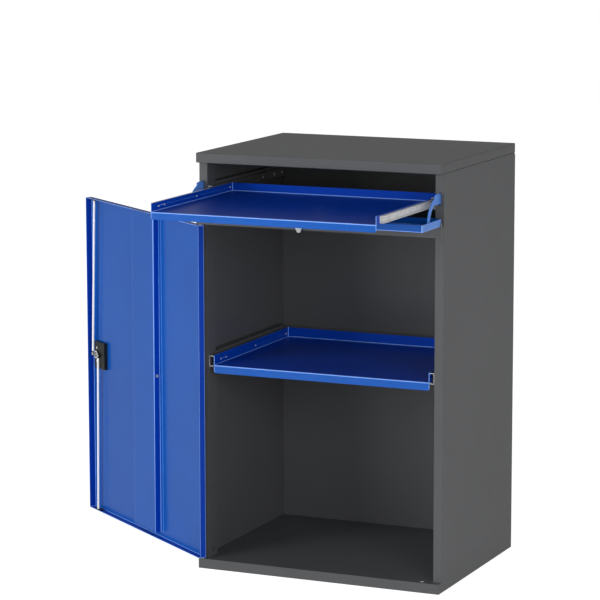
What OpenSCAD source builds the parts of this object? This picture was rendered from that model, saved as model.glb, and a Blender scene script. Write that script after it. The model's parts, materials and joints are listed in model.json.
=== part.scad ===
// Computer workstation cabinet in folded sheet steel. A keyboard tray slides out of a bay
// behind a fold-down flap, a printer shelf slides out below it, and a wing door with a
// two-rod rotary lock closes the lower part. It is drawn as in use: the door stands open,
// the flap lies down on its stays, the tray is drawn out and the shelf is pushed in.
// Origin: middle of the base on the floor. X to the right, Y to the back, Z up.
// Each sub-part is written from the left front bottom corner, and placed() moves it.

/* [Cabinet] */
// Width of the cabinet
cab_w = 650; // [560:10:800]
// Depth from the front of the cap to the back
cab_d = 520; // [510:10:650]
// Height of the cabinet
cab_h = 1055; // [950:5:1250]
// Thickness of the carcass sheet
sheet = 1.2; // [0.8:0.1:1.5]
// Set-back of the side panels behind the cap, the rail and the plinth
front_recess = 20; // [20:0.5:24]
// Width of the front flange of a side panel
stile_w = 22; // [20:1:28]
// Depth of the inner return of that flange
stile_return = 45; // [20:1:55]
// Width of the two slots in that return
stile_slot_w = 8; // [4:0.5:12]
// Height of the two slots in that return
stile_slot_h = 13; // [6:1:30]
// Height of the lower slot's middle
stile_slot_low = 40; // [36:1:80]
// Height of the upper slot's middle
stile_slot_high = 202; // [120:1:320]
// Width of the rear flange of a side panel
rear_flange_w = 15; // [10:1:25]
// Size of the relief at the top rear corner of a side panel
corner_relief = 4; // [2:0.5:8]
// Height of the cap
cap_h = 25; // [20:1:40]
// Depth of the cap's lower return at the front
cap_return = 32; // [30:1:45]
// Height of the plinth
plinth_h = 25; // [20:1:60]
// Height of the rail between the door and the flap
rail_h = 26; // [20:1:40]
// Clear height of the keyboard bay
bay_h = 127; // [115:1:160]
// Depth of the folds under the floors
floor_fold = 15; // [10:1:18]
// Width of the hat section under the cap
cap_rib_w = 60; // [40:2:90]
// Depth of the hat section under the cap
cap_rib_d = 14; // [8:1:18]

/* [Back] */
// Length of one ventilation slot
vent_len = 90; // [40:2:120]
// Height of one ventilation slot
vent_t = 5; // [3:0.5:6]
// Pitch of the ventilation slots
vent_pitch = 11; // [8:1:14]
// Ventilation slots in one block
vent_count = 5; // [3:1:5]
// Distance of the top slot below the floor above it
vent_down = 18; // [12:1:30]
// Radius of a cable outlet
outlet_r = 20; // [15:1:22]
// Width of the rim around a cable outlet
outlet_rim = 6; // [4:1:6]
// Distance of the outlets from the side of the cabinet
outlet_from_side = 110; // [60:5:200]
// Height of the lower outlet above the floor of the cabinet
outlet_up = 70; // [50:5:150]

/* [Door] */
// Thickness of the door sheet
door_sheet = 1.2; // [0.8:0.1:1.5]
// Gap between the door and the rail, the plinth and the sides of the cabinet
door_gap = 2; // [1.5:0.5:3]
// Depth of the door at its top, bottom and free edge
door_t = 18.8; // [17:0.2:19]
// Depth of the door at its hinge edge, less so that it clears the carcass
door_hinge_t = 16; // [13:0.5:16.5]
// Distance of the pivot from the side of the cabinet
pivot_x = 10; // [9:0.5:11]
// Distance of the pivot behind the front of the cabinet
pivot_y = 5; // [5:0.5:5.5]
// Angle at which the door stands open
door_open = 216.5; // [90:0.5:216.5]
// Radius of a pivot pin
pivot_r = 2.5; // [2:0.1:2.8]
// Length of a pivot pin
pivot_len = 24; // [18:1:30]
// Distance of the stiffener from the hinge edge
rib_from_hinge = 248; // [150:2:300]
// Width of the stiffener
rib_w = 122; // [60:2:160]
// Depth of the stiffener
rib_t = 17.2; // [10:0.2:17.6]
// Width of a foot of the stiffener
rib_foot = 12; // [8:1:20]
// Gap between the stiffener and the top of the door
rib_gap_top = 1.5; // [0.5:0.5:20]
// Gap between the stiffener and the bottom of the door
rib_gap_bottom = 13; // [0.5:0.5:40]

/* [Rotary lock] */
// Distance of the lock's axis from the free edge of the door
lock_from_edge = 40; // [36:1:55]
// Height of the lock's axis
lock_z = 454; // [380:1:520]
// Width of the lock case
case_w = 59; // [50:1:70]
// Height of the lock case
case_h = 72; // [60:1:90]
// Depth of the lock case
case_t = 10; // [8:0.5:10]
// Distance of the lock's axis from the near side of the case
case_edge = 13; // [11:0.5:18]
// Thickness of the crank
crank_t = 2; // [1.5:0.1:2.2]
// Radius of the ring around the spindle
ring_r = 10.4; // [9:0.1:10.5]
// Radius of the circle of the crank pins
crank_r = 15.5; // [15.5:0.5:18]
// Radius of a crank pin
crank_pin_r = 2; // [1.5:0.1:2.2]
// Radius of a lock rod
rod_r = 3; // [2.5:0.1:3]
// Distance of the rod ends from the free edge of the door
rod_from_edge = 45; // [40:1:60]
// Distance of the rod ends from the outside of the door
rod_y = 14.8; // [14.8:0.1:15]
// Thickness of the joint piece between a rod and its crank pin
eye_t = 2; // [1.5:0.1:2]
// Radius of that joint piece around the crank pin
eye_r = 4.6; // [4:0.1:4.7]
// Distance of the rod from the middle of its crank pin
rod_start = 7.5; // [6:0.5:20]
// Length of the turning handle
grip_len = 92; // [60:2:120]
// Width of the turning handle
grip_w = 18; // [14:1:24]
// Height of the turning handle above the door
grip_y = 42; // [32:1:50]
// Radius of the handle's rosette
rosette_r = 24; // [18:1:30]
// Size of the square spindle
spindle_w = 8; // [6:0.5:9]

/* [Flap] */
// Gap between the flap and its surround
flap_gap = 2; // [1.5:0.1:3]
// Depth of the flap
flap_t = 18; // [14:0.5:18.5]
// Distance of the flap's axis behind the front of the cabinet
flap_axis_y = 4; // [4:0.1:5]
// Distance of the flap's axis above the rail
flap_axis_up = 6; // [5.8:0.1:6.5]
// Radius of a flap pin
flap_pin_r = 2; // [1.5:0.1:2.2]
// Distance of a stay from the side of the cabinet
stay_x = 10; // [8:0.5:12]
// Radius of the stay's middle line about the flap's axis
stay_r = 62; // [56:1:66]
// Width of a stay
stay_w = 12; // [8:0.5:14]
// Thickness of a stay
stay_t = 2.5; // [2:0.1:3]
// Width of the head of a stay
stay_head_w = 25; // [18:1:28]
// Radius of the stop pin of a stay
stop_r = 2.5; // [2:0.1:3]

/* [Flap lock] */
// Distance of the flap lock from the free edge of the flap
flap_lock_edge = 13; // [13:0.5:16]
// Radius of the lock's head at the flap
knob_r = 11.5; // [10:0.5:12]
// Radius of the end of the lock's head
knob_end_r = 5.2; // [5:0.1:8]
// Height of the lock's head
knob_h = 18; // [12:0.5:20]
// Radius of the lock's barrel
barrel_r = 8; // [7:0.5:8]
// Radius of the turning plug
plug_r = 4; // [3:0.1:4.2]
// Length of the cam from the lock's axis
cam_len = 26; // [22:1:30]
// Width of the cam
cam_w = 12; // [10:0.5:14]

/* [Tray and shelf] */
// Set-back of their fronts when they are pushed in
pan_setback = 22; // [21.5:0.5:24]
// Height of the tray's floor above the rail
tray_up = 44.5; // [42:0.5:50]
// Height of the tray's front lip
tray_lip = 18; // [12:1:20]
// Height of the tray's walls
tray_wall = 20; // [19:1:30]
// Travel of the tray
tray_travel = 338; // [250:1:340]
// Height of the shelf's floor
shelf_z = 520; // [300:5:640]
// Height of the shelf's front lip
shelf_lip = 20; // [12:1:30]
// Height of the shelf's walls
shelf_wall = 25; // [19:1:40]
// Radius of the lower corners of a front lip
lip_corner_r = 5; // [2:0.5:8]

/* [Slides] */
// Length of the slides, and depth of the tray and of the shelf
slide_len = 450; // [430:5:450]
// Distance of the inner members behind the front of their tray or shelf
inner_setback = 20; // [5:1:40]
// Width of a slide from the carrier to the wall that it carries
slide_t = 12.7; // [12.5:0.1:14]
// Height of the outer member of a slide
outer_h = 27; // [26:0.5:30]
// Height of the inner member of a slide
inner_h = 17.4; // [16:0.2:17.4]
// Thickness of the slides' steel
slide_sheet = 1.2; // [1:0.1:1.2]
// Height of the slides' middle above the floor that they carry
slide_up = 10; // [9:0.5:10]
// Length of a ball cage
cage_len = 104; // [60:2:110]
// Balls in one row of a cage
ball_count = 6; // [3:1:6]
// Radius of a ball
ball_r = 1.5; // [1.2:0.1:1.5]
// Thickness of the slide carriers
carrier_t = 1.3; // [1:0.1:2]
// Height of a slide carrier
carrier_h = 40; // [34:1:50]

/* [Hidden] */
$fn = 48;
// clearances
run = 0.05;            // radial clearance of a pin that turns in its bore
skin = 0.3;            // gap that keeps neighbouring faces apart
screw_play = 0.1;      // radial clearance of a screw in its hole
cut = 1;               // how far a cutting body stands out of what it cuts

// heights
side_h = cab_h - cap_h;                    // top of the side panels
rail_top = side_h - bay_h;                 // upper face of the keyboard bay's floor
rail_z = rail_top - rail_h;                // lower face of the rail
back_y = cab_d - 2 * sheet;                // front face of the back panel
outlet_t = 2;                              // thickness of an outlet's rim
inner_w = cab_w - 2 * sheet;               // width between the side panels

// door, closed
door_x0 = door_gap;
door_x1 = cab_w - door_gap;
door_z0 = plinth_h + door_gap;
door_z1 = rail_z - door_gap;
rib_x0 = door_x0 + rib_from_hinge;
rib_z0 = door_z0 + door_sheet + rib_gap_bottom;
rib_z1 = door_z1 - door_sheet - rib_gap_top;
rib_hole_r = 3;
collar_r = 3.7;                            // collar of a pivot pin inside the door
collar_t = 2;
bush_r = 3.3;                              // plastic bush of a pivot pin
bush_rim_r = 4.6;
bush_rim_t = door_gap - skin;
bush_down = 6;
pivot_inner = 8;                           // length of a pivot pin inside the door

// rotary lock, in the closed door
lock_x = door_x1 - lock_from_edge;
case_x1 = lock_x + case_edge;
case_x0 = case_x1 - case_w;
case_y1 = door_sheet + case_t;
crank_y = case_y1 + skin;
crank_y1 = crank_y + crank_t;
eye_y = rod_y - eye_t / 2;
boss_r = 6.9;                              // boss of the crank, turns in the case
boss_out = 1.8;                            // how far it stands out of the crank
ring_t = 1.2;
hub_r = ring_r + 1;                        // middle of the crank
clip_r = 4;                                // washers that hold the rods on their pins
clip_t = 1;
clip_y = eye_y + eye_t + skin;
stud_r = 1.3;                              // stud of a joint piece inside its rod
stud_len = 12;
case_wall = 2;
rod_x = door_x1 - rod_from_edge;
rod_z1 = door_z1 - 0.5;
rod_z0 = door_z0 + 0.5;
rod_tip = 3;
rod_swing = 3.4;                           // how far a rod end strays sideways as it moves
guide_t = 3;
guide_w = 34;
guide_d = 12;
guide_slot = rod_r + skin;
neck_r = 9;
rosette_t = 6;
neck_hole_r = neck_r + skin;
grip_t = 14;
handle_plug_r = 4;
handle_plug_t = 10;
screw_r = 2;
screw_head_r = 3.6;
screw_head_t = 1.6;
lock_bolt_z = 18;                          // case screws, above and below the lock's axis
case_grip_r = screw_head_r + case_wall;
rosette_screw = 4;
spindle_out = 32;                          // reach of the spindle into the handle
key_slot_w = 1.2;
key_slot_h = 5;
key_slot_d = 3;

// flap, closed
flap_z0 = rail_top + flap_gap;
flap_z1 = side_h - 1.5;
flap_axis_z = rail_top + flap_axis_up;
lug_r = 4;
stay_tab = 14;
stay_foot_d = 16;
stay_foot_z = flap_axis_z - flap_axis_y + sheet;
stay_rivet_x = stay_x + stay_t / 2 + stay_tab / 2;
stay_rivet_dy = stay_foot_d / 4;
rivet_head_t = 1;
pin_recess = 0.2;
flap_pin_len = 8;
flap_collar_r = 2.5;
stay_end = 114;                            // angle at which a stay's head ends
stay_head_start = 75;
stop_y = front_recess + sheet + stop_r + skin;
stop_angle = asin((stop_y - flap_axis_y) / stay_r);
stop_z = flap_axis_z + stay_r * cos(stop_angle);
stop_len = 11;
stay_slot_gap = 1.2;
slot_reach_in = front_recess + sheet - flap_axis_y;
slot_reach_out = front_recess - flap_axis_y;
head_r0 = stay_r - stay_head_w / 2;
head_r1 = stay_r + stay_head_w / 2;
slot_z0 = flap_axis_z + sqrt(head_r0 * head_r0 - slot_reach_in * slot_reach_in) - 2.5;
slot_z1 = flap_axis_z + sqrt(head_r1 * head_r1 - slot_reach_out * slot_reach_out) + 2.5;
stay_sweep = flap_axis_y + head_r1 + 12;   // how far the stays reach into the cabinet

// flap lock, in the closed flap
flap_lock_x = cab_w / 2;
flap_lock_z = flap_z1 - flap_lock_edge;
barrel_len = flap_t + 0.3;
cam_t = 2;
cam_gap = 0.2;
cam_y = barrel_len + cam_gap;
cam_tail = 8;
cam_square = 5.4;
cam_screw_r = 1.7;
cam_screw_len = 10;
cam_head_r = 3.8;
cam_slot_y = flap_t - 1;
cam_slot_d = 5;
cam_slot_play = 3;
knob_rim = 6;                              // straight part of the lock's head
nut_t = 4;
nut_r = barrel_r + 4;

// tray, shelf and slides
pan_d = slide_len;
wall_x = stile_w + carrier_t + slide_t;    // outside of the tray's left wall
pan_w = cab_w - 2 * wall_x;
tray_z = rail_top + tray_up;
tray_slide_z = tray_z + slide_up;
shelf_slide_z = shelf_z + slide_up;
slide_x = stile_w + carrier_t;
outer_reach = slide_t - 2.2;
outer_lip = 1.4;
inner_reach = slide_t - 2.5;
cage_x = slide_sheet + skin;
cage_t = 0.6;
cage_h = inner_h + 2 * skin + 2 * ball_r;
cage_reach = 6.5;
cage_front = pan_setback + (slide_len - tray_travel - cage_len) / 2;
cage_end = 7;                              // distance of the outer balls from a cage's ends
ball_x = cage_x + 4;
ball_row_z = cage_h / 2;
shelf_cage_front = pan_setback + (slide_len - cage_len) / 2;
fixing_r = 2;
fixing_head_r = 3.4;
fixing_head_t = 1.6;
carrier_end = pan_setback + slide_len + 8;
rivet_from_rear = [130, 60, 10];           // rivets of the outer members, from their rear end
screw_from_end = 16;                       // outermost screws of an inner member
screw_step = 32;                           // second screw behind the first
spare_step = 16;                           // empty holes of the inner members behind these screws
fixing_back = [for (back = rivet_from_rear) slide_len - back];
// screws of the inner members, from the front of the tray or shelf
first_screw = inner_setback + screw_from_end;
fixing_front = [first_screw, first_screw + screw_step, (first_screw + slide_len) / 2,
                slide_len - screw_from_end];
spare_front = [first_screw + spare_step, first_screw + screw_step + spare_step];

steel_grey = [0.345, 0.35, 0.36];
panel_blue = [0.07, 0.24, 0.72];
arm_blue = [0.30, 0.50, 0.85];
zinc = [0.78, 0.79, 0.8];
chrome = [0.85, 0.86, 0.88];
plastic_black = [0.06, 0.06, 0.065];
nylon_grey = [0.55, 0.56, 0.58];

// moves a sub-part from the left front corner to the cabinet's own origin
module placed() {
    translate([-cab_w / 2, -cab_d / 2, 0]) children();
}

// the same on the other side of the cabinet
module mirrored() {
    translate([cab_w, 0, 0]) mirror([1, 0, 0]) children();
}

// opens what is drawn in the closed door
module in_open_door() {
    placed()
        translate([pivot_x, pivot_y, 0])
            rotate([0, 0, -door_open])
                translate([-pivot_x, -pivot_y, 0])
                    children();
}

// lays down what is drawn in the closed flap
module in_open_flap() {
    placed()
        translate([0, flap_axis_y, flap_axis_z])
            rotate([90, 0, 0])
                translate([0, -flap_axis_y, -flap_axis_z])
                    children();
}

// a cylinder along X, from x to x + len
module bar_x(x, y, z, r, len) {
    translate([x, y, z]) rotate([0, 90, 0]) cylinder(r = r, h = len);
}

// a cylinder along Y, from y to y + len
module bar_y(x, y, z, r, len) {
    translate([x, y, z]) rotate([-90, 0, 0]) cylinder(r = r, h = len);
}

// a slot with round ends along X, cut through in Z
module slot_x(x0, x1, y, z, r, h) {
    for (x = [x0, x1])
        translate([x, y, z]) cylinder(r = r, h = h);
    translate([x0, y - r, z]) cube([x1 - x0, 2 * r, h]);
}

// Carcass

module side_panel() {
    len = cab_d - front_recess;
    difference() {
        union() {
            translate([0, front_recess, 0]) cube([sheet, len, side_h]);
            translate([0, front_recess, plinth_h]) cube([stile_w, sheet, side_h - plinth_h]);
            translate([stile_w - sheet, front_recess, plinth_h])
                cube([sheet, stile_return, side_h - plinth_h]);
            translate([0, cab_d - sheet, 0]) cube([rear_flange_w, sheet, side_h]);
            translate([0, front_recess, side_h - sheet]) cube([stile_w, len, sheet]);
        }
        // slot in the front flange for the stay of the flap
        translate([stay_x - stay_t / 2 - stay_slot_gap, front_recess - cut, slot_z0])
            cube([stay_t + 2 * stay_slot_gap, sheet + 2 * cut, slot_z1 - slot_z0]);
        // slots in the inner return
        for (z = [stile_slot_low, stile_slot_high])
            translate([stile_w - sheet - cut, front_recess + (stile_return + sheet - stile_slot_w) / 2,
                       z - stile_slot_h / 2])
                cube([sheet + 2 * cut, stile_slot_w, stile_slot_h]);
        // relief where the folds meet at the top rear corner
        translate([-cut, cab_d - corner_relief, side_h - corner_relief])
            cube([corner_relief + cut, corner_relief + cut, corner_relief + cut]);
    }
}

module left_side() color(steel_grey) placed() side_panel();

module right_side() color(steel_grey) placed() mirrored() side_panel();

module vent_block(x, z) {
    for (i = [0 : vent_count - 1])
        translate([x, back_y - cut, z + i * vent_pitch])
            cube([vent_len, sheet + 2 * cut, vent_t]);
}

// one outlet low on the right, one on the left at the top of the keyboard bay
outlet_hole_r = outlet_r + 4;
outlet_at = [
    [cab_w - outlet_from_side, plinth_h + outlet_up],
    [outlet_from_side, side_h - 2 * outlet_rim - outlet_r]
];

module back_panel() {
    color(steel_grey) placed() difference() {
        union() {
            translate([sheet + skin, back_y, skin])
                cube([inner_w - 2 * skin, sheet, side_h - sheet - 2 * skin]);
            // middle, which stands up to the cap between the side panels' top flanges
            translate([stile_w + skin, back_y, skin])
                cube([cab_w - 2 * (stile_w + skin), sheet, side_h - 2 * skin]);
        }
        for (x = [0.25, 0.5, 0.75])
            for (z = [rail_z, shelf_z - shelf_lip])
                vent_block(x * cab_w - vent_len / 2,
                    z - vent_down - (vent_count - 1) * vent_pitch);
        for (p = outlet_at)
            bar_y(p[0], back_y - cut, p[1], outlet_hole_r, sheet + 2 * cut);
    }
}

module cable_outlets() {
    color(plastic_black) placed()
        for (p = outlet_at)
            difference() {
                union() {
                    bar_y(p[0], back_y - outlet_t, p[1], outlet_r + outlet_rim, outlet_t);
                    bar_y(p[0], back_y, p[1], outlet_hole_r, sheet);
                }
                bar_y(p[0], back_y - outlet_t - cut, p[1], outlet_r,
                    sheet + outlet_t + 2 * cut);
            }
}

module base_floor() {
    color(steel_grey) placed() difference() {
        union() {
            // plinth with its return on the ground
            cube([cab_w, sheet, plinth_h]);
            cube([cab_w, floor_fold, sheet]);
            translate([0, 0, plinth_h - sheet]) cube([cab_w, front_recess, sheet]);
            for (x = [0, cab_w - sheet])
                translate([x, 0, 0]) cube([sheet, front_recess, plinth_h]);
            // floor with its folds down to the ground
            translate([sheet, 0, plinth_h - sheet]) cube([inner_w, back_y, sheet]);
            for (x = [sheet, cab_w - 2 * sheet])
                translate([x, front_recess - sheet, 0])
                    cube([sheet, back_y - front_recess + sheet, plinth_h]);
            translate([sheet, back_y - sheet, 0]) cube([inner_w, sheet, plinth_h]);
        }
        translate([pivot_x, pivot_y, plinth_h - sheet - cut])
            cylinder(r = bush_r + screw_play, h = sheet + 2 * cut);
        slot_x(rod_x - rod_swing, rod_x, rod_y, plinth_h - sheet - cut,
            rod_r + 2 * skin, sheet + 2 * cut);
    }
}

// ear of the rail that carries a pin of the flap
module flap_lug() {
    translate([0, flap_axis_y - lug_r, rail_top - cut])
        cube([sheet, 2 * lug_r, flap_axis_z - rail_top + cut]);
    bar_x(0, flap_axis_y, flap_axis_z, lug_r, sheet);
}

module bay_floor() {
    color(steel_grey) placed() difference() {
        union() {
            // rail
            translate([0, 0, rail_z]) cube([cab_w, sheet, rail_h]);
            translate([0, 0, rail_z]) cube([cab_w, front_recess - skin, sheet]);
            for (x = [0, cab_w - sheet])
                translate([x, 0, rail_z]) cube([sheet, front_recess, rail_h]);
            translate([0, 0, rail_top - sheet]) cube([cab_w, front_recess, sheet]);
            flap_lug();
            mirrored() flap_lug();
            // floor of the bay with its folds
            translate([sheet, 0, rail_top - sheet]) cube([inner_w, back_y, sheet]);
            for (x = [sheet, cab_w - 2 * sheet])
                translate([x, stay_sweep, rail_top - floor_fold])
                    cube([sheet, back_y - stay_sweep, floor_fold]);
            translate([sheet, back_y - sheet, rail_top - floor_fold])
                cube([inner_w, sheet, floor_fold]);
        }
        // corners cut out for the side panels' flanges and for the stays
        for (x = [-cut, cab_w - stile_w - skin])
            translate([x, front_recess, rail_z - cut])
                cube([stile_w + skin + cut, stay_sweep - front_recess, rail_h + 2 * cut]);
        for (x = [-cut, cab_w - sheet - cut])
            bar_x(x, flap_axis_y, flap_axis_z, flap_pin_r + run, sheet + 2 * cut);
        translate([pivot_x, pivot_y, rail_z - cut])
            cylinder(r = bush_r + screw_play, h = sheet + 2 * cut);
        slot_x(rod_x, rod_x + rod_swing, rod_y, rail_z - cut,
            rod_r + 2 * skin, sheet + 2 * cut);
    }
}

module top_cap() {
    z = side_h;
    color(steel_grey) placed() difference() {
        union() {
            translate([0, 0, cab_h - sheet]) cube([cab_w, cab_d, sheet]);
            for (y = [0, cab_d - sheet])
                translate([0, y, z]) cube([cab_w, sheet, cap_h]);
            for (x = [0, cab_w - sheet])
                translate([x, 0, z]) cube([sheet, cab_d, cap_h]);
            // returns that lie on the side panels
            translate([0, 0, z]) cube([cab_w, cap_return, sheet]);
            translate([0, cab_d - floor_fold, z]) cube([cab_w, floor_fold, sheet]);
            for (x = [0, cab_w - floor_fold])
                translate([x, 0, z]) cube([floor_fold, cab_d, sheet]);
        }
        // slot that the cam of the flap lock turns into
        translate([flap_lock_x - cam_w / 2 - cam_slot_play, cam_slot_y, z - cut])
            cube([cam_w / 2 + cam_slot_play + cam_len, cam_slot_d, sheet + 2 * cut]);
    }
}

module cap_stiffener() {
    y0 = cab_d / 2 - cap_rib_w / 2;
    x0 = floor_fold + 5;
    len = cab_w - 2 * x0;
    z = cab_h - sheet - cap_rib_d;
    color(steel_grey) placed() {
        translate([x0, y0, z]) cube([len, cap_rib_w, sheet]);
        for (y = [y0, y0 + cap_rib_w - sheet])
            translate([x0, y, z]) cube([len, sheet, cap_rib_d]);
        for (y = [y0 - rib_foot, y0 + cap_rib_w - sheet])
            translate([x0, y, z + cap_rib_d - sheet]) cube([len, rib_foot + sheet, sheet]);
    }
}

// Slides

// folded rail between a side panel and a slide
module slide_carrier(z) {
    y0 = front_recess + sheet;
    difference() {
        union() {
            translate([stile_w, y0, z - carrier_h / 2])
                cube([carrier_t, carrier_end - y0, carrier_h]);
            for (dz = [-carrier_h / 2, carrier_h / 2 - carrier_t])
                translate([sheet, stay_sweep, z + dz])
                    cube([stile_w + carrier_t - sheet, carrier_end - stay_sweep, carrier_t]);
        }
        for (y = fixing_back)
            bar_x(stile_w - cut, pan_setback + y, z, fixing_r + screw_play,
                carrier_t + 2 * cut);
    }
}

module outer_member(z) {
    y0 = pan_setback;
    lip_h = slide_sheet + outer_lip;
    difference() {
        union() {
            translate([slide_x, y0, z - outer_h / 2]) cube([slide_sheet, slide_len, outer_h]);
            for (side = [-1, 1]) {
                translate([slide_x, y0, z + side * (outer_h - slide_sheet) / 2 - slide_sheet / 2])
                    cube([outer_reach, slide_len, slide_sheet]);
                translate([slide_x + outer_reach - slide_sheet, y0,
                           z + side * (outer_h - lip_h) / 2 - lip_h / 2])
                    cube([slide_sheet, slide_len, lip_h]);
            }
        }
        for (y = fixing_back)
            bar_x(slide_x - cut, y0 + y, z, fixing_r + screw_play, slide_sheet + 2 * cut);
    }
}

module inner_member(z) {
    x1 = wall_x;
    y0 = pan_setback + inner_setback;
    len = slide_len - inner_setback;
    difference() {
        union() {
            translate([x1 - slide_sheet, y0, z - inner_h / 2])
                cube([slide_sheet, len, inner_h]);
            for (dz = [-inner_h / 2, inner_h / 2 - slide_sheet])
                translate([x1 - inner_reach, y0, z + dz])
                    cube([inner_reach, len, slide_sheet]);
        }
        for (y = concat(fixing_front, spare_front))
            bar_x(x1 - slide_sheet - cut, pan_setback + y, z, fixing_r + screw_play,
                slide_sheet + 2 * cut);
    }
}

module ball_cage(z, y0) {
    x0 = slide_x + cage_x;
    pitch = (cage_len - 2 * cage_end) / (ball_count - 1);
    translate([x0, y0, z - cage_h / 2]) cube([cage_t, cage_len, cage_h]);
    for (side = [-1, 1]) {
        translate([x0, y0, z + side * cage_h / 2 - cage_t / 2])
            cube([cage_reach, cage_len, cage_t]);
        for (i = [0 : ball_count - 1])
            translate([slide_x + ball_x, y0 + cage_end + i * pitch, z + side * ball_row_z])
                sphere(r = ball_r, $fn = 24);
    }
}

// screws that hold an inner member to its wall, heads in the slide
module inner_screws(z) {
    for (y = fixing_front) {
        bar_x(wall_x - slide_sheet - fixing_head_t, pan_setback + y, z,
            fixing_head_r, fixing_head_t);
        bar_x(wall_x - slide_sheet - fixing_head_t, pan_setback + y, z,
            fixing_r, fixing_head_t + slide_sheet + 3);
    }
}

module drawn_out(distance) translate([0, -distance, 0]) children();

module tray_carrier_left() color(steel_grey) placed() slide_carrier(tray_slide_z);
module tray_carrier_right() color(steel_grey) placed() mirrored() slide_carrier(tray_slide_z);
module shelf_carrier_left() color(steel_grey) placed() slide_carrier(shelf_slide_z);
module shelf_carrier_right() color(steel_grey) placed() mirrored() slide_carrier(shelf_slide_z);

module tray_slide_outer_left() color(zinc) placed() outer_member(tray_slide_z);
module tray_slide_outer_right() color(zinc) placed() mirrored() outer_member(tray_slide_z);
module shelf_slide_outer_left() color(zinc) placed() outer_member(shelf_slide_z);
module shelf_slide_outer_right() color(zinc) placed() mirrored() outer_member(shelf_slide_z);

module slide_rivet(y, z) {
    bar_x(stile_w - rivet_head_t, y, z, fixing_head_r, rivet_head_t);
    bar_x(stile_w - rivet_head_t, y, z, fixing_r,
        carrier_t + slide_sheet + 2 * rivet_head_t);
    bar_x(slide_x + slide_sheet, y, z, fixing_head_r, rivet_head_t);
}

module slide_rivets() {
    color(zinc) placed()
        for (z = [tray_slide_z, shelf_slide_z])
            for (y = fixing_back) {
                slide_rivet(pan_setback + y, z);
                mirrored() slide_rivet(pan_setback + y, z);
            }
}

module tray_slide_inner_left()
    color(zinc) placed() drawn_out(tray_travel) inner_member(tray_slide_z);
module tray_slide_inner_right()
    color(zinc) placed() mirrored() drawn_out(tray_travel) inner_member(tray_slide_z);
module shelf_slide_inner_left() color(zinc) placed() inner_member(shelf_slide_z);
module shelf_slide_inner_right() color(zinc) placed() mirrored() inner_member(shelf_slide_z);

module tray_ball_cage_left() color(chrome) placed() ball_cage(tray_slide_z, cage_front);
module tray_ball_cage_right()
    color(chrome) placed() mirrored() ball_cage(tray_slide_z, cage_front);
module shelf_ball_cage_left()
    color(chrome) placed() ball_cage(shelf_slide_z, shelf_cage_front);
module shelf_ball_cage_right()
    color(chrome) placed() mirrored() ball_cage(shelf_slide_z, shelf_cage_front);

// Tray and shelf

// folded sheet with a lip down at the front and three walls up, holes for the slides
module pan(z, lip_h, wall_h) {
    y0 = pan_setback;
    slide_z = z + slide_up;
    difference() {
        union() {
            translate([wall_x, y0, z - sheet]) cube([pan_w, pan_d, sheet]);
            // front lip with rounded lower corners
            translate([wall_x, y0 + sheet, z - lip_h])
                rotate([90, 0, 0])
                    linear_extrude(sheet) {
                        translate([lip_corner_r, 0])
                            square([pan_w - 2 * lip_corner_r, lip_h]);
                        translate([0, lip_corner_r]) square([pan_w, lip_h - lip_corner_r]);
                        for (x = [lip_corner_r, pan_w - lip_corner_r])
                            translate([x, lip_corner_r]) circle(r = lip_corner_r);
                    }
            for (x = [wall_x, wall_x + pan_w - sheet])
                translate([x, y0, z - sheet]) cube([sheet, pan_d, wall_h + sheet]);
            translate([wall_x, y0 + pan_d - sheet, z - sheet])
                cube([pan_w, sheet, wall_h + sheet]);
        }
        for (y = fixing_front)
            for (x = [wall_x - cut, wall_x + pan_w - sheet - cut])
                bar_x(x, y0 + y, slide_z, fixing_r + screw_play, sheet + 2 * cut);
    }
}

module keyboard_tray()
    color(panel_blue) placed() drawn_out(tray_travel) pan(tray_z, tray_lip, tray_wall);

module tray_screws()
    color(zinc) placed() drawn_out(tray_travel) {
        inner_screws(tray_slide_z);
        mirrored() inner_screws(tray_slide_z);
    }

module printer_shelf() color(panel_blue) placed() pan(shelf_z, shelf_lip, shelf_wall);

module shelf_screws()
    color(zinc) placed() {
        inner_screws(shelf_slide_z);
        mirrored() inner_screws(shelf_slide_z);
    }

// Flap

module flap_panel() {
    w = cab_w - 2 * flap_gap;
    h = flap_z1 - flap_z0;
    color(panel_blue) in_open_flap() difference() {
        translate([flap_gap, 0, flap_z0]) cube([w, flap_t, h]);
        translate([flap_gap + sheet, sheet, flap_z0 + sheet])
            cube([w - 2 * sheet, flap_t, h - 2 * sheet]);
        for (x = [flap_gap - cut, cab_w - flap_gap - sheet - cut])
            bar_x(x, flap_axis_y, flap_axis_z, flap_pin_r + run, sheet + 2 * cut);
        bar_y(flap_lock_x, -cut, flap_lock_z, barrel_r + screw_play, sheet + 2 * cut);
        for (x = [stay_rivet_x, cab_w - stay_rivet_x])
            for (side = [-1, 1])
                bar_y(x, -cut, flap_axis_z + stay_r + side * stay_rivet_dy,
                    fixing_r + screw_play, sheet + 2 * cut);
    }
}

// pin with a collar inside the flap
module flap_pin() {
    bar_x(pin_recess, flap_axis_y, flap_axis_z, flap_pin_r, flap_pin_len);
    bar_x(flap_gap + sheet, flap_axis_y, flap_axis_z, flap_collar_r, collar_t);
}

module flap_pins()
    color(zinc) placed() {
        flap_pin();
        mirrored() flap_pin();
    }

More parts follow.
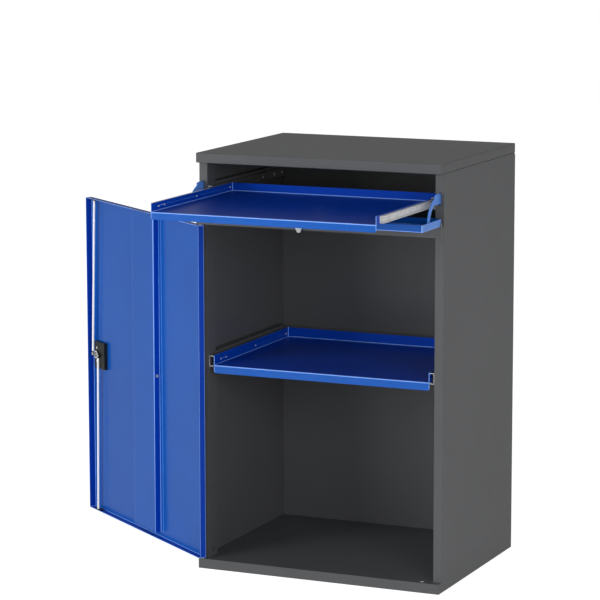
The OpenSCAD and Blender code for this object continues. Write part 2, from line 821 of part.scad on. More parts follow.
// quarter ring about the flap's axis, with a foot on the flap, a head that runs through
// the front flange, and a stop pin behind that flange
module flap_stay() {
    x1 = stay_x + stay_t / 2;
    difference() {
        union() {
            translate([x1, flap_axis_y, flap_axis_z]) rotate([90, 0, -90]) {
                rotate_extrude(angle = stay_end, $fn = 96)
                    translate([stay_r - stay_w / 2, 0]) square([stay_w, stay_t]);
                rotate([0, 0, stay_head_start])
                    rotate_extrude(angle = stay_end - stay_head_start, $fn = 96)
                        translate([head_r0, 0]) square([stay_head_w, stay_t]);
            }
            translate([x1 - stay_t, flap_axis_y - stay_r - stay_w / 2, stay_foot_z])
                cube([stay_t, stay_w, flap_axis_z - stay_foot_z]);
            translate([x1 - stay_t, flap_axis_y - stay_r - stay_foot_d / 2, stay_foot_z])
                cube([stay_tab + stay_t, stay_foot_d, stay_t]);
            bar_x(stay_x - stop_len / 2, stop_y, stop_z, stop_r, stop_len);
        }
        for (side = [-1, 1])
            translate([stay_rivet_x, flap_axis_y - stay_r - side * stay_rivet_dy,
                       stay_foot_z - cut])
                cylinder(r = fixing_r + screw_play, h = stay_t + 2 * cut);
    }
}

module flap_stay_left() color(arm_blue) placed() flap_stay();
module flap_stay_right() color(arm_blue) placed() mirrored() flap_stay();

module stay_rivets()
    color(arm_blue) placed()
        for (x = [stay_rivet_x, cab_w - stay_rivet_x])
            for (side = [-1, 1])
                translate([x, flap_axis_y - stay_r - side * stay_rivet_dy, stay_foot_z]) {
                    translate([0, 0, stay_t]) cylinder(r = fixing_head_r, h = rivet_head_t);
                    translate([0, 0, -sheet]) cylinder(r = fixing_r, h = sheet + stay_t);
                }

// Flap lock, cam upright in the closed frame when it is locked, sideways as drawn

module flap_lock_body() {
    color(chrome) in_open_flap() difference() {
        translate([flap_lock_x, 0, flap_lock_z]) rotate([90, 0, 0]) {
            cylinder(r = knob_r, h = knob_rim);
            translate([0, 0, knob_rim])
                cylinder(r1 = knob_r, r2 = knob_end_r, h = knob_h - knob_rim);
            translate([0, 0, -barrel_len]) cylinder(r = barrel_r, h = barrel_len);
        }
        bar_y(flap_lock_x, -knob_h - cut, flap_lock_z, plug_r + run,
            knob_h + barrel_len + 2 * cut);
    }
}

module flap_lock_nut() {
    color(zinc) in_open_flap() difference() {
        translate([flap_lock_x, sheet, flap_lock_z]) rotate([-90, 0, 0])
            cylinder(r = nut_r, h = nut_t, $fn = 6);
        bar_y(flap_lock_x, sheet - cut, flap_lock_z, barrel_r + screw_play,
            nut_t + 2 * cut);
    }
}

module flap_lock_plug() {
    color(zinc) in_open_flap() difference() {
        union() {
            bar_y(flap_lock_x, skin - knob_h, flap_lock_z, plug_r, knob_h + barrel_len - skin);
            translate([flap_lock_x - cam_square / 2, barrel_len - cut,
                       flap_lock_z - cam_square / 2])
                cube([cam_square, cut + cam_gap + cam_t, cam_square]);
        }
        translate([flap_lock_x - key_slot_w / 2, -knob_h - cut, flap_lock_z - key_slot_h / 2])
            cube([key_slot_w, cut + key_slot_d, key_slot_h]);
        bar_y(flap_lock_x, cam_y + cam_t - cam_screw_len, flap_lock_z,
            cam_screw_r + screw_play, cam_screw_len + cut);
    }
}

module flap_lock_cam() {
    color(zinc) in_open_flap() difference() {
        translate([flap_lock_x - cam_tail, cam_y, flap_lock_z - cam_w / 2])
            cube([cam_tail + cam_len, cam_t, cam_w]);
        translate([flap_lock_x - cam_square / 2 - screw_play, cam_y - cut,
                   flap_lock_z - cam_square / 2 - screw_play])
            cube([cam_square + 2 * screw_play, cam_t + 2 * cut, cam_square + 2 * screw_play]);
    }
}

module cam_screw() {
    color(zinc) in_open_flap() {
        bar_y(flap_lock_x, cam_y + cam_t, flap_lock_z, cam_head_r, fixing_head_t);
        bar_y(flap_lock_x, cam_y + cam_t - cam_screw_len + cut, flap_lock_z,
            cam_screw_r, cam_screw_len - cut);
    }
}

// Door

module door_panel() {
    w = door_x1 - door_x0;
    h = door_z1 - door_z0;
    color(panel_blue) in_open_door() difference() {
        translate([door_x0, 0, door_z0]) cube([w, door_t, h]);
        translate([door_x0 + door_sheet, door_sheet, door_z0 + door_sheet])
            cube([w - 2 * door_sheet, door_t, h - 2 * door_sheet]);
        // lower edges at the hinge, so that they pass the front flange
        translate([door_x0 - cut, door_hinge_t, door_z0 - cut])
            cube([pivot_x - door_x0 + cut, door_t, h + 2 * cut]);
        translate([pivot_x, pivot_y, door_z0 - cut])
            cylinder(r = pivot_r + run, h = door_sheet + 2 * cut);
        translate([pivot_x, pivot_y, door_z1 - door_sheet - cut])
            cylinder(r = pivot_r + run, h = door_sheet + 2 * cut);
        slot_x(rod_x - rod_swing, rod_x, rod_y, door_z0 - cut, rod_r + skin,
            door_sheet + 2 * cut);
        slot_x(rod_x, rod_x + rod_swing, rod_y, door_z1 - door_sheet - cut, rod_r + skin,
            door_sheet + 2 * cut);
        bar_y(lock_x, -cut, lock_z, neck_hole_r, door_sheet + 2 * cut);
        for (side = [-1, 1])
            bar_y(lock_x, -cut, lock_z + side * lock_bolt_z, screw_r + screw_play,
                door_sheet + 2 * cut);
    }
}

// hat section from the top to the bottom of the door
module door_stiffener() {
    len = rib_z1 - rib_z0;
    y0 = door_sheet;
    color(panel_blue) in_open_door() difference() {
        translate([rib_x0, 0, rib_z0]) {
            translate([0, y0 + rib_t - door_sheet, 0]) cube([rib_w, door_sheet, len]);
            for (x = [0, rib_w - door_sheet])
                translate([x, y0, 0]) cube([door_sheet, rib_t, len]);
            for (x = [-rib_foot, rib_w - door_sheet])
                translate([x, y0, 0]) cube([rib_foot + door_sheet, door_sheet, len]);
        }
        bar_x(rib_x0 - cut, y0 + rib_t / 2, lock_z, rib_hole_r, door_sheet + 2 * cut);
    }
}

module stiffener_plug()
    color(nylon_grey) in_open_door() {
        bar_x(rib_x0 - rivet_head_t, door_sheet + rib_t / 2, lock_z, rib_hole_r + 1,
            rivet_head_t);
        bar_x(rib_x0 - rivet_head_t, door_sheet + rib_t / 2, lock_z, rib_hole_r - screw_play,
            rivet_head_t + door_sheet + 1);
    }

// pin with a collar inside the door, for the lower pivot
module pivot_pin() {
    translate([pivot_x, pivot_y, door_z0 + door_sheet]) cylinder(r = collar_r, h = collar_t);
    translate([pivot_x, pivot_y, door_z0 + door_sheet + pivot_inner - pivot_len])
        cylinder(r = pivot_r, h = pivot_len);
}

// turns a lower pivot part over to the top of the door
module at_top() {
    translate([0, 0, door_z0 + door_z1]) mirror([0, 0, 1]) children();
}

module door_pivot_pins()
    color(zinc) in_open_door() {
        pivot_pin();
        at_top() pivot_pin();
    }

module pivot_bush() {
    difference() {
        translate([pivot_x, pivot_y, 0]) {
            translate([0, 0, plinth_h]) cylinder(r = bush_rim_r, h = bush_rim_t);
            translate([0, 0, plinth_h - bush_down]) cylinder(r = bush_r, h = bush_down);
        }
        translate([pivot_x, pivot_y, plinth_h - bush_down - cut])
            cylinder(r = pivot_r + run, h = bush_down + bush_rim_t + 2 * cut);
    }
}

module door_pivot_bushes()
    color(nylon_grey) placed() {
        pivot_bush();
        at_top() pivot_bush();
    }

module rod_guide(x, z) {
    difference() {
        translate([x - guide_w / 2, door_t - guide_d, z]) cube([guide_w, guide_d, guide_t]);
        slot_x(x - rod_swing / 2, x + rod_swing / 2, rod_y, z - cut, rod_r + skin,
            guide_t + 2 * cut);
    }
}

module rod_guides()
    color(plastic_black) in_open_door() {
        rod_guide(rod_x - rod_swing / 2, door_z0 + door_sheet);
        rod_guide(rod_x + rod_swing / 2, door_z1 - door_sheet - guide_t);
    }

// Rotary lock, with the crank turned to the unlocked side

module lock_case() {
    color(plastic_black) in_open_door() difference() {
        union() {
            difference() {
                translate([case_x0, door_sheet, lock_z - case_h / 2])
                    cube([case_w, case_t, case_h]);
                translate([case_x0 + case_wall, door_sheet - cut,
                           lock_z - case_h / 2 + case_wall])
                    cube([case_w - 2 * case_wall, case_t - case_wall + cut,
                          case_h - 2 * case_wall]);
            }
            bar_y(lock_x, door_sheet, lock_z, boss_r + case_wall, case_t);
            for (side = [-1, 1])
                bar_y(lock_x, door_sheet, lock_z + side * lock_bolt_z, case_grip_r, case_t);
        }
        bar_y(lock_x, door_sheet - cut, lock_z, boss_r + run, case_t + 2 * cut);
        for (side = [-1, 1])
            translate([lock_x, case_y1, lock_z + side * lock_bolt_z]) rotate([90, 0, 0]) {
                translate([0, 0, -cut]) cylinder(r = screw_r + screw_play, h = case_t + 2 * cut);
                translate([0, 0, -0.001])
                    cylinder(r1 = screw_head_r + screw_play, r2 = screw_r + screw_play,
                        h = screw_head_t);
            }
    }
}

module lock_case_screws()
    color(zinc) in_open_door()
        for (side = [-1, 1])
            translate([lock_x, case_y1, lock_z + side * lock_bolt_z]) rotate([90, 0, 0]) {
                cylinder(r1 = screw_head_r, r2 = screw_r, h = screw_head_t);
                cylinder(r = screw_r, h = case_t + door_sheet + rosette_screw);
            }

module handle_rosette() {
    color(plastic_black) in_open_door() difference() {
        translate([lock_x, 0, lock_z]) rotate([90, 0, 0]) {
            cylinder(r = rosette_r, h = rosette_t - 1);
            cylinder(r1 = rosette_r, r2 = rosette_r - 2, h = rosette_t);
        }
        bar_y(lock_x, -rosette_t - cut, lock_z, neck_r + run, rosette_t + 2 * cut);
        for (side = [-1, 1])
            bar_y(lock_x, -rosette_screw - skin, lock_z + side * lock_bolt_z,
                screw_r + screw_play, rosette_screw + skin + cut);
    }
}

// turning handle, pointing to the hinge when it is unlocked and down when it is locked
module door_handle() {
    color(plastic_black) in_open_door() difference() {
        union() {
            translate([lock_x, -grip_y + grip_t, lock_z]) rotate([90, 0, 0])
                linear_extrude(grip_t) hull() {
                    circle(r = grip_w / 2 + 2);
                    translate([-grip_len, 0]) circle(r = grip_w / 2 - 1);
                }
            bar_y(lock_x, -grip_y + grip_t - cut, lock_z, neck_r,
                grip_y - grip_t + cut + door_sheet - skin);
        }
        translate([lock_x - spindle_w / 2, -spindle_out, lock_z - spindle_w / 2])
            cube([spindle_w, spindle_out + door_sheet + cut, spindle_w]);
        bar_y(lock_x, -grip_y - cut, lock_z, handle_plug_r + run, handle_plug_t + cut);
    }
}

module lock_spindle() {
    w = spindle_w - 2 * screw_play;
    color(zinc) in_open_door()
        translate([lock_x - w / 2, skin - spindle_out, lock_z - w / 2])
            cube([w, spindle_out - skin + crank_y1, w]);
}

// flat crank with the two pins for the rods, and a boss that turns in the case
module lock_crank() {
    color(plastic_black) in_open_door() difference() {
        union() {
            translate([lock_x, crank_y1, lock_z]) rotate([90, 0, 0])
                linear_extrude(crank_t) hull() {
                    circle(r = hub_r);
                    for (side = [-1, 1])
                        translate([side * crank_r, 0]) circle(r = eye_r);
                }
            bar_y(lock_x, door_sheet + skin, lock_z, boss_r, crank_y1 + boss_out - door_sheet - skin);
            for (side = [-1, 1])
                bar_y(lock_x + side * crank_r, crank_y, lock_z, crank_pin_r,
                    clip_y + clip_t - crank_y);
        }
        translate([lock_x - spindle_w / 2, door_sheet, lock_z - spindle_w / 2])
            cube([spindle_w, crank_y1 + boss_out - door_sheet + cut, spindle_w]);
    }
}

// bright ring on the crank, around its boss
module spindle_ring() {
    color(zinc) in_open_door() difference() {
        bar_y(lock_x, crank_y1, lock_z, ring_r, ring_t);
        bar_y(lock_x, crank_y1 - cut, lock_z, boss_r + run, ring_t + 2 * cut);
    }
}

// washers pushed on the crank pins
module rod_clips() {
    color(zinc) in_open_door()
        for (side = [-1, 1])
            difference() {
                bar_y(lock_x + side * crank_r, clip_y, lock_z, clip_r, clip_t);
                bar_y(lock_x + side * crank_r, clip_y - cut, lock_z, crank_pin_r + run,
                    clip_t + 2 * cut);
            }
}

module handle_plug() {
    color(zinc) in_open_door() difference() {
        bar_y(lock_x, -grip_y, lock_z, handle_plug_r, handle_plug_t - skin);
        translate([lock_x - key_slot_w / 2, -grip_y - cut, lock_z - key_slot_h / 2])
            cube([key_slot_w, cut + key_slot_d, key_slot_h]);
    }
}

// Rods. Each one runs from its crank pin to its end in the edge of the door.

function rod_angle(pin_x, end_z) = atan2(rod_x - pin_x, end_z - lock_z);
function rod_len(pin_x, end_z) = norm([rod_x - pin_x, end_z - lock_z]);

module along_rod(pin_x, end_z) {
    translate([pin_x, 0, lock_z]) rotate([0, rod_angle(pin_x, end_z), 0]) children();
}

module lock_rod(pin_x, end_z) {
    len = rod_len(pin_x, end_z);
    along_rod(pin_x, end_z) translate([0, rod_y, 0]) difference() {
        union() {
            translate([0, 0, rod_start]) cylinder(r = rod_r, h = len - rod_start - rod_tip);
            translate([0, 0, len - rod_tip])
                cylinder(r1 = rod_r, r2 = rod_r / 2, h = rod_tip);
        }
        translate([0, 0, rod_start - cut])
            cylinder(r = stud_r + run, h = stud_len + skin + cut);
    }
}

// flat joint piece on a crank pin, with a stud that sits in the end of the rod
module rod_joint(pin_x, end_z) {
    difference() {
        along_rod(pin_x, end_z) {
            translate([0, eye_y + eye_t, 0]) rotate([90, 0, 0]) linear_extrude(eye_t) {
                circle(r = eye_r);
                translate([-rod_r, 0]) square([2 * rod_r, rod_start]);
            }
            translate([0, rod_y, rod_start - cut]) cylinder(r = stud_r, h = stud_len + cut);
        }
        bar_y(pin_x, eye_y - cut, lock_z, crank_pin_r + run, eye_t + 2 * cut);
    }
}

module upper_lock_rod() color(zinc) in_open_door() lock_rod(lock_x + crank_r, rod_z1);
module lower_lock_rod() color(zinc) in_open_door() lock_rod(lock_x - crank_r, rod_z0);
module upper_rod_joint()
    color(plastic_black) in_open_door() rod_joint(lock_x + crank_r, rod_z1);
module lower_rod_joint()
    color(plastic_black) in_open_door() rod_joint(lock_x - crank_r, rod_z0);

left_side();
right_side();
back_panel();
base_floor();
bay_floor();
top_cap();
cap_stiffener();
cable_outlets();
tray_carrier_left();
tray_carrier_right();
shelf_carrier_left();
shelf_carrier_right();
tray_slide_outer_left();
tray_slide_outer_right();
shelf_slide_outer_left();
shelf_slide_outer_right();
slide_rivets();
tray_slide_inner_left();
tray_slide_inner_right();
shelf_slide_inner_left();
shelf_slide_inner_right();
tray_ball_cage_left();
tray_ball_cage_right();
shelf_ball_cage_left();
shelf_ball_cage_right();
keyboard_tray();
tray_screws();
printer_shelf();
shelf_screws();
flap_panel();
flap_stay_left();
flap_stay_right();
flap_pins();
stay_rivets();
flap_lock_body();
flap_lock_nut();
flap_lock_plug();
flap_lock_cam();
cam_screw();
door_panel();
door_stiffener();
stiffener_plug();
door_pivot_pins();
door_pivot_bushes();
rod_guides();
lock_case();
lock_case_screws();
handle_rosette();
door_handle();
lock_spindle();
lock_crank();
spindle_ring();
rod_clips();
handle_plug();
upper_lock_rod();
lower_lock_rod();
upper_rod_joint();
lower_rod_joint();
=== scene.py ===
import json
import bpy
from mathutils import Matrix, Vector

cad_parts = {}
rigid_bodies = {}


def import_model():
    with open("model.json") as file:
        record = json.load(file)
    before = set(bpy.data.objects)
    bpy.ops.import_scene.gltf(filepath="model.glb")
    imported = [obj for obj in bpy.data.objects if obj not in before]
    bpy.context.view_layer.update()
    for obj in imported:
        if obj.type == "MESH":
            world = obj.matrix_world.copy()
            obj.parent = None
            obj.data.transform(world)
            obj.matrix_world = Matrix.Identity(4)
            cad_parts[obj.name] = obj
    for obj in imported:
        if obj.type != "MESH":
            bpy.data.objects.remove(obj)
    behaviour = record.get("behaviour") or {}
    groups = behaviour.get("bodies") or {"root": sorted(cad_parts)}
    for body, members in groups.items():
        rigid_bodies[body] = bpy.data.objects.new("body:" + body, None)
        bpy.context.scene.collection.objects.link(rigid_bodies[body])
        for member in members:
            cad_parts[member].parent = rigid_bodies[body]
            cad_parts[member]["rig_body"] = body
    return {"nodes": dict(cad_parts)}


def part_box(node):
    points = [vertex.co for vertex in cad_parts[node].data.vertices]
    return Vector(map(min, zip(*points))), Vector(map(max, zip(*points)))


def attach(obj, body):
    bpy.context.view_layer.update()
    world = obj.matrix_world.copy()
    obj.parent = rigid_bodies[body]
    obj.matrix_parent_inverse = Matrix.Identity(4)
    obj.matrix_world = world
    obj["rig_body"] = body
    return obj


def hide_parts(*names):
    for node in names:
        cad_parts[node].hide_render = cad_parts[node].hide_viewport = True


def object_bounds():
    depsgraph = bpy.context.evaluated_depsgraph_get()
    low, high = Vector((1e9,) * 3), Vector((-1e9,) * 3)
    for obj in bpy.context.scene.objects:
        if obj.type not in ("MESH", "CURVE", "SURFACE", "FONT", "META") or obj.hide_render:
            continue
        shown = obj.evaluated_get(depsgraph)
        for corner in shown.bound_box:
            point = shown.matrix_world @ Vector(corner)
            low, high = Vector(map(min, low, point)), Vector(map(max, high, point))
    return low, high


bl_info = {
    "name": "Computer Workstation Cabinet",
    "version": (1, 0, 0),
    "blender": (4, 5, 0),
    "location": "View3D > Sidebar > Cabinet",
    "description": "Dresses the folded sheet cabinet with its tray, shelf, flap, door and rotary lock",
    "category": "Object",
}

from math import cos, radians, sin

import bmesh
import bpy
from mathutils import Matrix, Vector

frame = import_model()
CAD_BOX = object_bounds()
MM = 0.001


# Sizes and colours that a user may change


class CabinetColours(bpy.types.PropertyGroup):
    carcass: bpy.props.FloatVectorProperty(
        name="Carcass", description="Powder coat of the carcass",
        subtype="COLOR", size=3, min=0, max=1, default=(0.085, 0.087, 0.091))
    panel: bpy.props.FloatVectorProperty(
        name="Panels", description="Powder coat of the door, flap, tray and shelf",
        subtype="COLOR", size=3, min=0, max=1, default=(0.004, 0.084, 0.40))
    # Deep blue: painted shade on the panel flanks and on the insides of the tray, shelf and flap.
    panel_painted_shade: bpy.props.FloatVectorProperty(
        name="Painted panel shade", description="Blue darkened with painted shade on the flanks and in the trays of the panels",
        subtype="COLOR", size=3, min=0, max=1, default=(0.001, 0.046, 0.42))
    # Light blue: painted highlight on the bends and cut rims of the blue panels.
    panel_painted_highlight: bpy.props.FloatVectorProperty(
        name="Painted panel highlights", description="Blue lightened with painted highlights on the bends and rims of the blue panels",
        subtype="COLOR", size=3, min=0, max=1, default=(0.22, 0.42, 0.97))
    # Also put on the flap's side flanges as a painted sheen.
    stay: bpy.props.FloatVectorProperty(
        name="Stays and flap sheen", description="Powder coat of the flap's stays",
        subtype="COLOR", size=3, min=0, max=1, default=(0.09, 0.26, 0.76))
    zinc: bpy.props.FloatVectorProperty(
        name="Zinc", description="Bright zinc plating of the slides and fixings",
        subtype="COLOR", size=3, min=0, max=1, default=(0.78, 0.78, 0.79))
    # Painted shade: a dark zinc for the outer slide members, whose rims stay bright zinc.
    channel: bpy.props.FloatVectorProperty(
        name="Slide shade", description="Zinc darkened with painted shade for the outer slide members",
        subtype="COLOR", size=3, min=0, max=1, default=(0.14, 0.14, 0.138))
    rod: bpy.props.FloatVectorProperty(
        name="Rods", description="White zinc of the lock rods",
        subtype="COLOR", size=3, min=0, max=1, default=(0.97, 0.97, 0.96))
    chrome: bpy.props.FloatVectorProperty(
        name="Chrome", description="Polished plating of the flap lock and the balls",
        subtype="COLOR", size=3, min=0, max=1, default=(0.80, 0.80, 0.82))
    plastic: bpy.props.FloatVectorProperty(
        name="Black plastic", description="Moulded plastic of the lock, handle and outlets",
        subtype="COLOR", size=3, min=0, max=1, default=(0.010, 0.012, 0.011))
    nylon: bpy.props.FloatVectorProperty(
        name="Nylon", description="Bushes and plugs",
        subtype="COLOR", size=3, min=0, max=1, default=(0.36, 0.37, 0.39))


class CabinetFolds(bpy.types.PropertyGroup):
    outer: bpy.props.FloatProperty(
        name="Outer bend", description="Outer radius of a bend in the carcass",
        unit="LENGTH", min=0.0005, max=0.004, default=0.0024)
    inner: bpy.props.FloatProperty(
        name="Inner bend", description="Inner radius of a bend in the carcass",
        unit="LENGTH", min=0.0001, max=0.003, default=0.0012)
    panel_outer: bpy.props.FloatProperty(
        name="Panel outer bend", description="Outer radius of a bend in a blue panel",
        unit="LENGTH", min=0.0005, max=0.004, default=0.0022)
    panel_inner: bpy.props.FloatProperty(
        name="Panel inner bend", description="Inner radius of a bend in a blue panel",
        unit="LENGTH", min=0.0001, max=0.004, default=0.0014)
    door_inner: bpy.props.FloatProperty(
        name="Door inner bend", description="Inner radius of a bend in the door and its stiffener",
        unit="LENGTH", min=0.0001, max=0.004, default=0.0010)
    slide_outer: bpy.props.FloatProperty(
        name="Slide bend", description="Outer radius of a bend in a slide member",
        unit="LENGTH", min=0.0003, max=0.002, default=0.0012)
    turned: bpy.props.FloatProperty(
        name="Turned edge", description="Chamfer of pins, discs and screw heads",
        unit="LENGTH", min=0, max=0.001, default=0.0003)
    moulded: bpy.props.FloatProperty(
        name="Moulded edge", description="Rounding of plastic parts",
        unit="LENGTH", min=0, max=0.003, default=0.0012)


class CabinetStage(bpy.types.PropertyGroup):
    lens: bpy.props.FloatProperty(
        name="Lens", description="Focal length of the camera in millimetres",
        min=20, max=300, default=170.318)
    position: bpy.props.FloatVectorProperty(
        name="Camera", description="Place of the camera", subtype="TRANSLATION",
        unit="LENGTH", size=3, default=(2.75230, -6.52529, 1.82908))
    yaw: bpy.props.FloatProperty(
        name="Yaw", description="Turn of the camera to the left of the depth axis",
        subtype="ANGLE", default=radians(24.04684))
    pitch: bpy.props.FloatProperty(
        name="Pitch", description="Tilt of the camera below the horizon",
        subtype="ANGLE", default=radians(9.30910))
    roll: bpy.props.FloatProperty(
        name="Roll", description="Roll of the camera about its own axis",
        subtype="ANGLE", default=radians(-0.09337))
    horizon_light: bpy.props.FloatProperty(
        name="Light around", description="Strength of the light from the walls all round",
        min=0, max=3, default=0.88)
    overhead_light: bpy.props.FloatProperty(
        name="Light overhead", description="Strength of the light from the ceiling",
        min=0, max=3, default=0.06)
    mirrored_light: bpy.props.FloatProperty(
        name="Mirrored light", description="Brightness of the surround in reflections",
        min=0, max=2, default=0.27)
    mirrored_floor: bpy.props.FloatProperty(
        name="Mirrored floor", description="Light added to the floor in reflections",
        min=0, max=2, default=0.24)
    front_left: bpy.props.FloatProperty(
        name="Front left lamp", description="Power of the lamp at the front left",
        unit="POWER", min=0, max=5000, default=150)
    front_right: bpy.props.FloatProperty(
        name="Front right lamp", description="Power of the lamp at the front right",
        unit="POWER", min=0, max=5000, default=92)
    sparkle: bpy.props.FloatProperty(
        name="Small lamp", description="Power of the small high lamp that lights the bends",
        unit="POWER", min=0, max=500, default=7.5)
    floor: bpy.props.FloatVectorProperty(
        name="Floor", description="Colour of the floor", subtype="COLOR",
        size=3, min=0, max=1, default=(0.55, 0.55, 0.55))
    floor_lift: bpy.props.FloatProperty(
        name="Floor lift", description="Light added to the floor as the camera sees it",
        min=0, max=1, default=0.85)


# Shader node helpers


def link(tree, start, end):
    tree.links.new(start, end)


def add(tree, kind, x=0, y=0, **settings):
    node = tree.nodes.new(kind)
    node.location = (x, y)
    for key, value in settings.items():
        setattr(node, key, value)
    return node


def noise(tree, vector, scale, detail=2.0, roughness=0.5, x=0, y=0):
    node = add(tree, "ShaderNodeTexNoise", x, y)
    node.inputs["Scale"].default_value = scale
    node.inputs["Detail"].default_value = detail
    node.inputs["Roughness"].default_value = roughness
    link(tree, vector, node.inputs["Vector"])
    return node.outputs["Fac"]


def spread(tree, value, low, high, to_low, to_high, x=0, y=0):
    node = add(tree, "ShaderNodeMapRange", x, y)
    for socket, number in zip(("From Min", "From Max", "To Min", "To Max"),
                              (low, high, to_low, to_high)):
        node.inputs[socket].default_value = number
    link(tree, value, node.inputs["Value"])
    return node.outputs["Result"]


def combine(tree, operation, first, second, x=0, y=0):
    node = add(tree, "ShaderNodeMath", x, y, operation=operation)
    for socket, value in zip(node.inputs, (first, second)):
        if isinstance(value, (int, float)):
            socket.default_value = value
        else:
            link(tree, value, socket)
    return node.outputs[0]


def new_group(name, inputs, outputs):
    """A shader node group with named sockets; inputs are (name, type, default)."""
    group = bpy.data.node_groups.new(name, "ShaderNodeTree")
    for label, kind, default in inputs:
        socket = group.interface.new_socket(label, in_out="INPUT", socket_type=kind)
        socket.default_value = default
    for label, kind in outputs:
        group.interface.new_socket(label, in_out="OUTPUT", socket_type=kind)
    return (group, add(group, "NodeGroupInput", -900).outputs,
            add(group, "NodeGroupOutput", 900).inputs)


def object_coords(tree):
    return add(tree, "ShaderNodeTexCoord", -900, -300).outputs["Object"]


FLOAT, COLOUR, VECTOR = "NodeSocketFloat", "NodeSocketColor", "NodeSocketVector"
# Scales of the noises, in cells per metre, and heights of the bumps, in metres
PEEL, GRAIN, CLOUDS, RUBBED = 520, 2600, 4.5, 38
COAT_RELIEF, GRAIN_SHARE = 0.00006, 0.22
DRAWN_LINES, TARNISH, MARKS = 1700, 55, 420
LINE_STRETCH, PLATING_RELIEF = 0.03, 0.00004
MOULD_GRAIN, HANDLED, MOULD_RELIEF = 1500, 60, 0.00005


def tinted(tree, colour, shade, x=0, y=0):
    """The colour times a shade that is 1 on average."""
    node = add(tree, "ShaderNodeVectorMath", x, y, operation="SCALE")
    link(tree, colour, node.inputs[0])
    link(tree, shade, node.inputs["Scale"])
    return node.outputs[0]


def bumped(tree, height, distance, strength, x=0, y=0):
    """A normal that follows the height; strength is a socket."""
    node = add(tree, "ShaderNodeBump", x, y)
    node.inputs["Distance"].default_value = distance
    link(tree, strength, node.inputs["Strength"])
    link(tree, height, node.inputs["Height"])
    return node.outputs["Normal"]


def powder_coat_group():
    """Baked powder coat: orange peel, fine grain, faint clouds and rubbed spots."""
    group, given, out = new_group("Powder coat surface", [
        ("Colour", COLOUR, (0.1, 0.1, 0.1, 1)), ("Roughness", FLOAT, 0.4),
        ("Peel", FLOAT, 0.5), ("Clouds", FLOAT, 0.06),
    ], [("Colour", COLOUR), ("Roughness", FLOAT), ("Normal", VECTOR)])
    place = object_coords(group)
    peel = noise(group, place, PEEL, 1.0, 0.4, -650, -200)
    grain = noise(group, place, GRAIN, 1.0, 0.5, -650, -420)
    clouds = noise(group, place, CLOUDS, 3.0, 0.55, -650, 200)
    rubbed = noise(group, place, RUBBED, 4.0, 0.65, -650, 0)
    height = combine(group, "MULTIPLY_ADD", grain, GRAIN_SHARE, -420, -300)
    link(group, peel, height.node.inputs[2])
    relief = bumped(group, height, COAT_RELIEF, given["Peel"], -150, -300)
    link(group, relief, out["Normal"])
    wander = spread(group, clouds, 0.3, 0.7, -1.0, 1.0, -420, 200)
    wander = combine(group, "MULTIPLY", wander, given["Clouds"], -200, 200)
    shade = combine(group, "ADD", wander, 1.0, 0, 200)
    link(group, tinted(group, given["Colour"], shade, 300, 200), out["Colour"])
    patch = spread(group, rubbed, 0.35, 0.75, -0.012, 0.018, -420, 0)
    link(group, combine(group, "ADD", patch, given["Roughness"], -150, 0), out["Roughness"])
    return group


def plating_group():
    """Bright plating: drawn lines along the piece, cloudy tarnish and small marks."""
    group, given, out = new_group("Plated steel surface", [
        ("Colour", COLOUR, (0.7, 0.7, 0.7, 1)), ("Roughness", FLOAT, 0.3),
        ("Lines", FLOAT, 0.3), ("Tarnish", FLOAT, 0.1),
    ], [("Colour", COLOUR), ("Roughness", FLOAT), ("Normal", VECTOR)])
    place = object_coords(group)
    stretch = add(group, "ShaderNodeMapping", -720, -200)
    stretch.inputs["Scale"].default_value = (1.0, LINE_STRETCH, 1.0)
    link(group, place, stretch.inputs["Vector"])
    lines = noise(group, stretch.outputs["Vector"], DRAWN_LINES, 2.0, 0.6, -520, -200)
    clouds = noise(group, place, TARNISH, 4.0, 0.6, -520, 150)
    marks = noise(group, place, MARKS, 2.0, 0.5, -520, 0)
    relief = bumped(group, lines, PLATING_RELIEF, given["Lines"], -150, -250)
    link(group, relief, out["Normal"])
    wander = spread(group, clouds, 0.3, 0.7, -1.0, 0.6, -320, 150)
    wander = combine(group, "MULTIPLY", wander, given["Tarnish"], -150, 150)
    shade = combine(group, "ADD", wander, 1.0, 0, 150)
    link(group, tinted(group, given["Colour"], shade, 300, 150), out["Colour"])
    patch = spread(group, marks, 0.3, 0.7, -0.06, 0.08, -320, 0)
    link(group, combine(group, "ADD", patch, given["Roughness"], -150, 0), out["Roughness"])
    return group


def moulded_group():
    """Moulded plastic: spark-eroded grain and slightly shinier handled patches."""
    group, given, out = new_group("Moulded plastic surface", [
        ("Colour", COLOUR, (0.02, 0.02, 0.02, 1)), ("Roughness", FLOAT, 0.45),
        ("Grain", FLOAT, 0.4),
    ], [("Colour", COLOUR), ("Roughness", FLOAT), ("Normal", VECTOR)])
    place = object_coords(group)
    grain = noise(group, place, MOULD_GRAIN, 2.0, 0.6, -520, -200)
    patches = noise(group, place, HANDLED, 2.0, 0.5, -520, 100)
    relief = bumped(group, grain, MOULD_RELIEF, given["Grain"], -150, -250)
    link(group, relief, out["Normal"])
    shade = spread(group, patches, 0.3, 0.7, 0.9, 1.12, -320, 150)
    link(group, tinted(group, given["Colour"], shade, 300, 150), out["Colour"])
    patch = spread(group, patches, 0.3, 0.7, -0.06, 0.06, -320, 0)
    link(group, combine(group, "ADD", patch, given["Roughness"], -150, 0), out["Roughness"])
    return group


